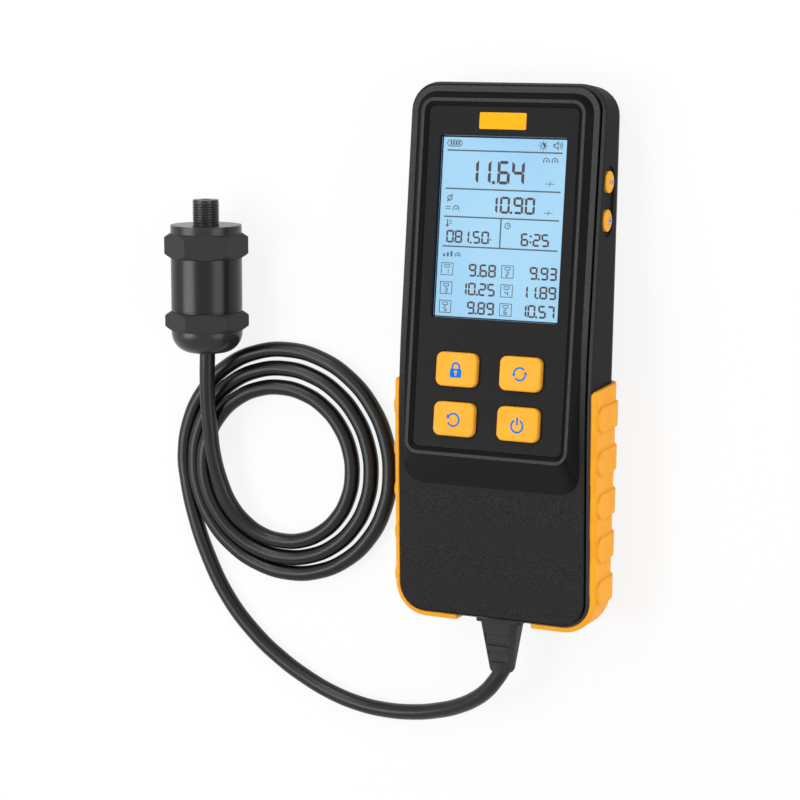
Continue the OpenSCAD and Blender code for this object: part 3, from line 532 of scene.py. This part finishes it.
def rays(shape, x, y, inner, outer, half_width):
    corners = ((inner, -half_width), (inner, half_width), (outer, half_width), (outer, -half_width))
    for i in range(8):
        a = math.radians(45 * i)
        u, v = math.cos(a), math.sin(a)
        strip(shape, [(x + r * u + w * v, y + r * v - w * u) for r, w in corners])


def thicken(shape, thickness):
    made = bmesh.ops.extrude_face_region(shape, geom=shape.faces[:])
    raised = [v for v in made["geom"] if isinstance(v, bmesh.types.BMVert)]
    bmesh.ops.translate(shape, verts=raised, vec=(0.0, 0.0, thickness))


def drawn_piece(name, shape, place, thickness, material, body):
    thicken(shape, thickness)
    bmesh.ops.recalc_face_normals(shape, faces=shape.faces[:])
    bmesh.ops.transform(shape, matrix=place, verts=shape.verts[:])
    finished(name, shape, material, body)


def finished(name, shape, material, body):
    mesh = bpy.data.meshes.new(name)
    shape.to_mesh(mesh)
    shape.free()
    mesh.materials.append(material)
    piece = bpy.data.objects.new(name, mesh)
    bpy.context.collection.objects.link(piece)
    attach(piece, body)
    return piece


# Grips: the solids with the rounded edges of moulded rubber

GRIP_WELD = 0.0036
GRIP_VOXEL = 0.36
GRIP_ROUNDS = 3
GRIP_SMOOTHING = 0.5

# What the smoothing takes off is put on first
GRIP_FULL = 0.15


def rounded_grip(node):
    shape = bmesh.new()
    shape.from_mesh(frame["nodes"][node].data)
    bmesh.ops.remove_doubles(shape, verts=shape.verts[:], dist=GRIP_WELD * MM)
    rubber = FINISHES["orange_rubber"]
    grip = finished(node + "_rubber", shape, rubber, HOUSING)
    skin = grip.modifiers.new("skin", "REMESH")
    skin.mode = "VOXEL"
    skin.voxel_size = GRIP_VOXEL * MM
    skin.use_smooth_shade = True
    full = grip.modifiers.new("full", "DISPLACE")
    full.mid_level = 0.0
    full.strength = GRIP_FULL * MM
    edges = grip.modifiers.new("edges", "SMOOTH")
    edges.factor = GRIP_SMOOTHING
    edges.iterations = GRIP_ROUNDS
    rounded = grip.evaluated_get(bpy.context.evaluated_depsgraph_get())
    mesh = bpy.data.meshes.new_from_object(rounded)
    grip.modifiers.clear()
    grip.data = mesh
    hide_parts(node)


rounded_grip("left_grip")
rounded_grip("right_grip")


# Display: seven-segment numbers, rules, boxes and small signs

INK_LIFT = 0.02
INK_HEIGHT = 0.05
DISPLAY = HEAD @ Matrix.Translation((0, 0, GLASS_Z + INK_LIFT))

SEGMENTS = {
    "0": "abcdef", "1": "bc", "2": "abged", "3": "abgcd", "4": "fgbc", "5": "afgcd",
    "6": "afgedc", "7": "abc", "8": "abcdefg", "9": "abcdfg",
}

# Shares of a segment's thickness: the gap to the next one, its outer tip and its slanted end
SEGMENT_GAP = 0.08
SEGMENT_TIP = 0.35
SEGMENT_SLANT = 0.25
COLON_HEIGHTS = (0.25, 0.7)

# Numbers: their foot, the width, height and thickness of a digit, and each sign's left edge
SMALL_DIGIT = (3.1, 4.75, 0.72)
NUMBERS = [
    (72.95, (5.0, 8.65, 1.15),
     [("1", -15.2), ("1", -10.2), (".", -4.0), ("6", -2.6), ("4", 3.2)]),
    (62.3, (3.95, 6.25, 0.9),
     [("1", -5.8), ("0", -0.9), (".", 3.72), ("9", 4.45), ("0", 9.1)]),
    (50.8, SMALL_DIGIT,
     [("0", -22.0), ("8", -18.55), ("1", -15.7), (".", -11.9), ("5", -11.25), ("0", -7.7)]),
    (50.75, (3.05, 4.75, 0.72), [("6", 8.15), (":", 12.05), ("2", 12.9), ("5", 16.35)]),
    (38.65, SMALL_DIGIT, [("9", -12.1), (".", -8.3), ("6", -7.75), ("8", -4.2)]),
    (38.65, SMALL_DIGIT, [("9", 12.4), (".", 16.1), ("9", 16.7), ("3", 20.1)]),
    (31.7, SMALL_DIGIT, [("1", -15.6), ("0", -12.0), (".", -8.3), ("2", -7.8), ("5", -4.25)]),
    (31.7, SMALL_DIGIT, [("1", 9.0), ("1", 12.4), (".", 16.0), ("8", 16.7), ("9", 20.25)]),
    (24.75, SMALL_DIGIT, [("9", -12.05), (".", -8.4), ("8", -7.8), ("9", -4.15)]),
    (24.75, SMALL_DIGIT, [("1", 8.9), ("0", 12.4), (".", 16.0), ("5", 16.6), ("7", 20.0)]),
]

# Rules: heights of the level ones, their left end and length, and the upright one
RULES_Y = (85.0, 70.85, 60.5, 49.52)
RULE_START = -23.3
RULE_LENGTH = 46.15
RULE_WIDTH = 0.54
UPRIGHT_RULE = (-0.4, 49.8, RULE_WIDTH, 10.45)

# Boxes beside the lower numbers
BOXES_Y = (38.7, 31.7, 24.75)
BOXES_X = (-23.45, 1.07)
BOX_WIDTH = 4.95
BOX_HEIGHT = 4.75
BOX_LINE = 0.28

SIGN_LINE = 0.3
FINE_LINE = 0.26


def segment_across(shape, x, y, width, t):
    h = t / 2
    g = t * SEGMENT_GAP
    strip(shape, [
        (x + g, y), (x + g + h, y - h), (x + width - g - h, y - h),
        (x + width - g, y), (x + width - g - h, y + h), (x + g + h, y + h),
    ])


def segment_up(shape, x, y, height, t, side, upper):
    h = t / 2
    g = t * SEGMENT_GAP
    inner, outer = x - side * h, x + side * h
    inside = [(inner, y + height - g - h), (inner, y + g + h)]
    if upper:
        low, high = y + g, y + height + t * SEGMENT_TIP
        strip(shape, [(outer, low + t * SEGMENT_SLANT), (outer, high)] + inside + [(x, low)])
    else:
        low, high = y - t * SEGMENT_TIP, y + height - g
        strip(shape, [(outer, low), (outer, high - t * SEGMENT_SLANT), (x, high)] + inside)


def digit(shape, sign, x, y, width, height, t):
    left, right = x + t / 2, x + width - t / 2
    low, mid, top = y + t / 2, y + height / 2, y + height - t / 2
    across = {"a": top, "g": mid, "d": low}
    up = {
        "f": (left, mid, -1, True), "e": (left, low, -1, False),
        "b": (right, mid, 1, True), "c": (right, low, 1, False),
    }
    for name in SEGMENTS[sign]:
        if name in across:
            segment_across(shape, left, across[name], right - left, t)
        else:
            at, foot, side, upper = up[name]
            segment_up(shape, at, foot, mid - low, t, side, upper)


def number(shape, signs, y, width, height, t):
    for sign, x in signs:
        if sign == ".":
            bar(shape, x - t / 2, y, t, t)
        elif sign == ":":
            for share in COLON_HEIGHTS:
                bar(shape, x - t / 2, y + height * share, t, t)
        else:
            digit(shape, sign, x, y, width, height, t)


def display_piece(name, shape, ink):
    drawn_piece(name, shape, DISPLAY, INK_HEIGHT, FINISHES[ink], HOUSING)


def display_numbers():
    shape = bmesh.new()
    for y, size, signs in NUMBERS:
        number(shape, signs, y, *size)
    display_piece("display_numbers", shape, "segment_ink")


def display_rules():
    shape = bmesh.new()
    for y in RULES_Y:
        bar(shape, RULE_START, y - RULE_WIDTH / 2, RULE_LENGTH, RULE_WIDTH)
    bar(shape, *UPRIGHT_RULE)
    display_piece("display_rules", shape, "label_ink")


def display_boxes():
    shape = bmesh.new()
    for row, low in enumerate(BOXES_Y):
        for column, x in enumerate(BOXES_X):
            frame_line(shape, x, low, BOX_WIDTH, BOX_HEIGHT, BOX_LINE)
            count = str(1 + column + len(BOXES_X) * row)
            digit(shape, count, x + 1.75, low + 0.55, 1.4, 1.9, 0.34)
            # A small cylinder head above the count
            frame_line(shape, x + 1.3, low + 2.9, 2.3, 1.2, FINE_LINE)
            bar(shape, x + 2.3, low + 2.65, 0.3, 0.3)
    display_piece("display_boxes", shape, "label_ink")


def battery_sign(shape, x, y):
    arc(shape, x, y, 1.1, SIGN_LINE, 90, 180)
    arc(shape, x + 3.7, y, 1.1, SIGN_LINE, -90, 180)
    bar(shape, x, y + 0.95, 3.7, SIGN_LINE)
    bar(shape, x, y - 1.25, 3.7, SIGN_LINE)
    for i in range(4):
        bar(shape, x + 0.1 + 1.05 * i, y - 0.75, 0.62, 1.5)


def sun_sign(shape, x, y):
    arc(shape, x, y, 0.95, SIGN_LINE, 0, 360)
    arc(shape, x, y, 0.42, 0.8, -60, 170)
    rays(shape, x, y, 1.35, 1.9, 0.13)


def loudspeaker_sign(shape):
    bar(shape, 19.1, 87.0, 0.4, 1.3)
    strip(shape, [
        (19.5, 87.0), (19.85, 87.05), (21.1, 85.95), (21.1, 86.45), (19.95, 87.4), (19.5, 87.35),
    ])
    strip(shape, [
        (19.5, 87.95), (19.95, 87.9), (21.1, 88.85), (21.1, 89.35), (19.85, 88.25), (19.5, 88.3),
    ])
    bar(shape, 20.85, 86.45, SIGN_LINE, 2.4)
    for radius in (1.35, 2.05):
        arc(shape, 20.6, 87.65, radius, FINE_LINE, -40, 80)


def dial_sign(shape, x, y, size):
    arc(shape, x, y, size, 0.34, -30, 240)
    strip(shape, [(x - 0.25, y - 0.1), (x + 0.1, y - 0.3), (x + size * 0.62, y + size * 0.6)])
    disc(shape, x, y, 0.34, 12)


def mean_sign(shape):
    arc(shape, -21.3, 67.4, 0.95, 0.32, 0, 360)
    strip(shape, [(-22.5, 66.0), (-22.2, 65.8), (-20.1, 68.8), (-20.4, 69.0)])
    for y in (63.1, 64.0):
        bar(shape, -22.9, y, 2.1, SIGN_LINE)


def thermometer_sign(shape):
    bar(shape, -22.0, 57.6, 0.42, 1.9)
    disc(shape, -21.8, 57.2, 0.55, 16)
    for y in (58.9, 58.3, 57.7):
        bar(shape, -21.0, y, 0.9, FINE_LINE)


def clock_sign(shape, x, y):
    arc(shape, x, y, 1.05, 0.32, 0, 360)
    bar(shape, x - 0.1, y - 0.1, FINE_LINE, 0.8)
    bar(shape, x - 0.1, y - 0.15, 0.65, FINE_LINE)


def steps_sign(shape, x, y):
    for i in range(3):
        bar(shape, x + 1.5 * i, y, 0.8, 1.0 + 0.5 * i)


def unit_sign(shape, x, y):
    bar(shape, x, y, 3.6, 0.24)
    strip(shape, [
        (x + 1.5, y - 0.75), (x + 1.75, y - 0.75), (x + 2.2, y + 1.15), (x + 1.95, y + 1.15),
    ])


def display_signs():
    shape = bmesh.new()
    battery_sign(shape, -22.3, 87.6)
    sun_sign(shape, 15.1, 87.5)
    loudspeaker_sign(shape)
    for x, y, size in (
        (16.6, 81.9, 1.15), (20.0, 81.9, 1.15), (-18.6, 63.4, 1.15), (-16.9, 46.2, 1.0),
    ):
        dial_sign(shape, x, y, size)
    mean_sign(shape)
    thermometer_sign(shape)
    clock_sign(shape, 2.6, 57.9)
    # Degree mark
    arc(shape, -4.0, 52.6, 0.34, 0.2, 0, 360)
    steps_sign(shape, -22.9, 45.7)
    unit_sign(shape, 16.7, 73.6)
    unit_sign(shape, 16.6, 63.0)
    display_piece("display_signs", shape, "label_ink")


def display_edge_shade():
    """Dark ink along the glass's top, foot and left side: painted shade at the edges of its recess.
    """
    shape = bmesh.new()
    bar(shape, -25.5, 89.8, 51.0, 0.65)
    bar(shape, -25.5, 23.15, 51.0, 0.45)
    bar(shape, -25.5, 23.6, 0.5, 66.2)
    display_piece("display_edge_shade", shape, "edge_shade_ink")


display_numbers()
display_edge_shade()
display_rules()
display_boxes()
display_signs()


# Bare yellow plate above the display

PLATE_SIZE = (18.7, 6.1)
PLATE_PLACE = (-0.15, 95.95, PANEL_Z)
PLATE_CORNER = 0.5
PLATE_HEIGHT = 0.12


def bare_plate():
    shape = bmesh.new()
    rounded_block(shape, 0.0, *PLATE_SIZE, PLATE_CORNER)
    drawn_piece("bare_plate", shape, HEAD @ Matrix.Translation(PLATE_PLACE), PLATE_HEIGHT,
                FINISHES["plate_yellow"], HOUSING)


bare_plate()


# Key signs

KEY_SIGN_RADIUS = 2.3
KEY_SIGN_LINE = 0.68
KEY_SIGN_HEIGHT = 0.06
KEYHOLE_LIFT = 0.05
KEYHOLE_HEIGHT = 0.03


def key_place(column, row):
    return HEAD @ Matrix.Translation((column * KEY_COLUMN, KEY_ROWS[row], KEY_TOP))


def key_sign(name, shape, column, row, body):
    drawn_piece(name, shape, key_place(column, row), KEY_SIGN_HEIGHT, FINISHES["icon_blue"],
                body)


def lock_sign():
    shape = bmesh.new()
    rounded_block(shape, -1.35, 4.6, 3.3, 0.5)
    arc(shape, 0.0, 1.0, 1.4, 0.7, 0, 180)
    bar(shape, -1.75, 0.2, 0.7, 0.8)
    bar(shape, 1.05, 0.2, 0.7, 0.8)
    key_sign("lock_sign", shape, -1, 0, "lock_key")
    shape = bmesh.new()
    disc(shape, 0.0, -0.95, 0.6)
    strip(shape, [(-0.3, -2.25), (0.3, -2.25), (0.22, -1.2), (-0.22, -1.2)])
    lifted = key_place(-1, 0) @ Matrix.Translation((0, 0, KEYHOLE_LIFT))
    drawn_piece("lock_keyhole", shape, lifted, KEYHOLE_HEIGHT, FINISHES["orange_key"],
                "lock_key")


def arrow_head(shape, x, y, heading, size):
    a = math.radians(heading)
    u, v = size * math.cos(a), size * math.sin(a)
    back_x, back_y = x - 0.3 * u, y - 0.3 * v
    strip(shape, [(x + u, y + v), (back_x - v, back_y + u), (back_x + v, back_y - u)])


def cycle_sign():
    shape = bmesh.new()
    for start, end, heading, shift in ((45, 180, -90, -0.3), (225, 360, 90, 0.3)):
        arc(shape, 0.0, 0.0, KEY_SIGN_RADIUS, KEY_SIGN_LINE, start, end - start)
        a = math.radians(end)
        x, y = KEY_SIGN_RADIUS * math.cos(a), KEY_SIGN_RADIUS * math.sin(a)
        arrow_head(shape, x, y + shift, heading, 0.8)
    key_sign("cycle_sign", shape, 1, 0, "cycle_key")


def undo_sign():
    shape = bmesh.new()
    start = 150
    arc(shape, 0.0, -0.2, KEY_SIGN_RADIUS, KEY_SIGN_LINE, start, -300)
    a = math.radians(start)
    x, y = KEY_SIGN_RADIUS * math.cos(a), KEY_SIGN_RADIUS * math.sin(a)
    arrow_head(shape, x - 0.1, y - 0.3, 225, 1.0)
    key_sign("undo_sign", shape, -1, 1, "undo_key")


def power_sign():
    shape = bmesh.new()
    arc(shape, 0.0, -0.65, KEY_SIGN_RADIUS, KEY_SIGN_LINE, 118, 304)
    bar(shape, -0.35, -0.35, 0.7, 3.0)
    key_sign("power_sign", shape, 1, 1, "power_key")


lock_sign()
cycle_sign()
undo_sign()
power_sign()


# Signs on the two side buttons, bent onto their domes

BUTTON_SIGN_HEIGHT = 0.05


def button_sign(name, body, place, draw):
    shape = bmesh.new()
    draw(shape)
    bmesh.ops.subdivide_edges(shape, edges=shape.edges[:], cuts=2, use_grid_fill=True)
    thicken(shape, BUTTON_SIGN_HEIGHT)
    for v in shape.verts:
        v.co.z += math.sqrt(BUTTON_CURVE ** 2 - v.co.x ** 2 - v.co.y ** 2) - BUTTON_CURVE
    bmesh.ops.recalc_face_normals(shape, faces=shape.faces[:])
    middle = (BUTTON_TOP, BUTTONS_Y + place * BUTTON_PITCH / 2, -BUTTON_DEPTH)
    turn = (
        HEAD
        @ Matrix.Translation(middle)
        @ Matrix.Rotation(math.radians(90), 4, "Y")
        @ Matrix.Rotation(math.radians(90), 4, "Z")
    )
    bmesh.ops.transform(shape, matrix=turn, verts=shape.verts[:])
    finished(name, shape, FINISHES["icon_blue"], body)


def draw_steps(shape):
    for i, width in enumerate((0.9, 1.6, 2.3)):
        bar(shape, -width / 2, 1.5 - 1.5 * i, width, 0.5)


def draw_lamp(shape):
    disc(shape, 0.0, 0.0, 0.75, 16)
    rays(shape, 0.0, 0.0, 1.15, 1.8, 0.16)


button_sign("mode_sign", "mode_button", 1, draw_steps)
button_sign("light_sign", "light_button", -1, draw_lamp)


# Thread on the sensor's stub

THREAD_PITCH = 1.0
THREAD_TURNS = 8.6
THREAD_STEPS = 40
THREAD_START = 0.35
THREAD_ROOT = STUB_RADIUS - 0.2
THREAD_CREST = STUB_RADIUS + 0.32
ROOT_HALF = 0.44
CREST_HALF = 0.07


def sensor_thread():
    shape = bmesh.new()
    low = STUB_START + THREAD_START
    profile = [
        (THREAD_ROOT, -ROOT_HALF), (THREAD_CREST, -CREST_HALF),
        (THREAD_CREST, CREST_HALF), (THREAD_ROOT, ROOT_HALF),
    ]
    verts = [shape.verts.new((r, 0.0, low + z)) for r, z in profile]
    edges = [shape.edges.new(pair) for pair in zip(verts, verts[1:])]
    bmesh.ops.spin(
        shape, geom=verts + edges, cent=(0, 0, 0), axis=(0, 0, 1),
        dvec=(0, 0, THREAD_PITCH / THREAD_STEPS), angle=2 * math.pi * THREAD_TURNS,
        steps=int(THREAD_TURNS * THREAD_STEPS), use_duplicate=False,
    )
    bmesh.ops.recalc_face_normals(shape, faces=shape.faces[:])
    bmesh.ops.transform(shape, matrix=SENSOR_AXIS, verts=shape.verts[:])
    finished("sensor_thread", shape, FINISHES["dark_metal"], HOUSING)


sensor_thread()


# Studio: pale floor, soft lamps and white surroundings

WHITE = (1.0, 1.0, 1.0, 1.0)
FLOOR_GREY = (0.92, 0.92, 0.92, 1.0)
FLOOR_HALF = 3.0

# Share of plain white in the floor as it is seen, and the room's strength as light and as seen
FLOOR_WHITE = 0.87
ROOM_STRENGTH = (0.41, 1.0)

# Lamps: place, aim, sides and power
LAMPS = {
    "key_lamp": ((-0.67, -0.16, 0.97), (-0.04, -0.02, 0.0), (0.35, 0.75), 5.5),
    "right_lamp": ((1.1, -0.1, 0.5), (0.0, -0.02, 0.0), (0.9, 0.8), 5.5),
    "back_lamp": ((-0.3, 0.9, 0.62), (0.0, 0.05, 0.0), (0.4, 0.3), 3.2),
    "top_lamp": ((-0.45, 0.42, 0.95), (0.0, 0.08, 0.0), (0.3, 0.3), 1.9),
}


def is_seen(nodes, links):
    """1 for rays that show a surface, 0 for those that light one."""
    path = nodes.new("ShaderNodeLightPath").outputs
    seen = reckoned(nodes, links, "MAXIMUM", path["Is Camera Ray"], path["Is Glossy Ray"])
    return reckoned(nodes, links, "MAXIMUM", seen, path["Is Transmission Ray"])


def pale_floor():
    shape = bmesh.new()
    bmesh.ops.create_grid(shape, x_segments=2, y_segments=2, size=FLOOR_HALF)
    mesh = bpy.data.meshes.new("pale_floor")
    shape.to_mesh(mesh)
    shape.free()
    floor = bpy.data.objects.new("pale_floor", mesh)
    bpy.context.collection.objects.link(floor)
    material, nodes, links, shader = start_material("pale_floor", 0.9, specular=0.0)
    shader.inputs["Base Color"].default_value = FLOOR_GREY
    glow = nodes.new("ShaderNodeEmission")
    glow.inputs["Color"].default_value = WHITE
    share = reckoned(nodes, links, "MULTIPLY", is_seen(nodes, links), FLOOR_WHITE)
    blend = nodes.new("ShaderNodeMixShader")
    links.new(share, blend.inputs["Fac"])
    links.new(shader.outputs["BSDF"], blend.inputs[1])
    links.new(glow.outputs["Emission"], blend.inputs[2])
    links.new(blend.outputs["Shader"], nodes["Material Output"].inputs["Surface"])
    mesh.materials.append(material)


def soft_lamp(name, place, aim, size, power):
    lamp = bpy.data.lights.new(name, "AREA")
    lamp.shape = "RECTANGLE"
    lamp.size, lamp.size_y = size
    lamp.energy = power
    holder = bpy.data.objects.new(name, lamp)
    holder.location = place
    holder.rotation_euler = (Vector(aim) - Vector(place)).to_track_quat("-Z", "Y").to_euler()
    bpy.context.collection.objects.link(holder)


def white_world():
    world = bpy.data.worlds.new("white_room")
    bpy.context.scene.world = world
    world.use_nodes = True
    nodes, links = world.node_tree.nodes, world.node_tree.links
    strength = mapped(nodes, links, is_seen(nodes, links), target=ROOM_STRENGTH)
    links.new(strength, nodes["Background"].inputs["Strength"])
    nodes["Background"].inputs["Color"].default_value = WHITE


pale_floor()
for lamp_name, settings in LAMPS.items():
    soft_lamp(lamp_name, *settings)
white_world()
bpy.context.scene.view_settings.view_transform = "Standard"
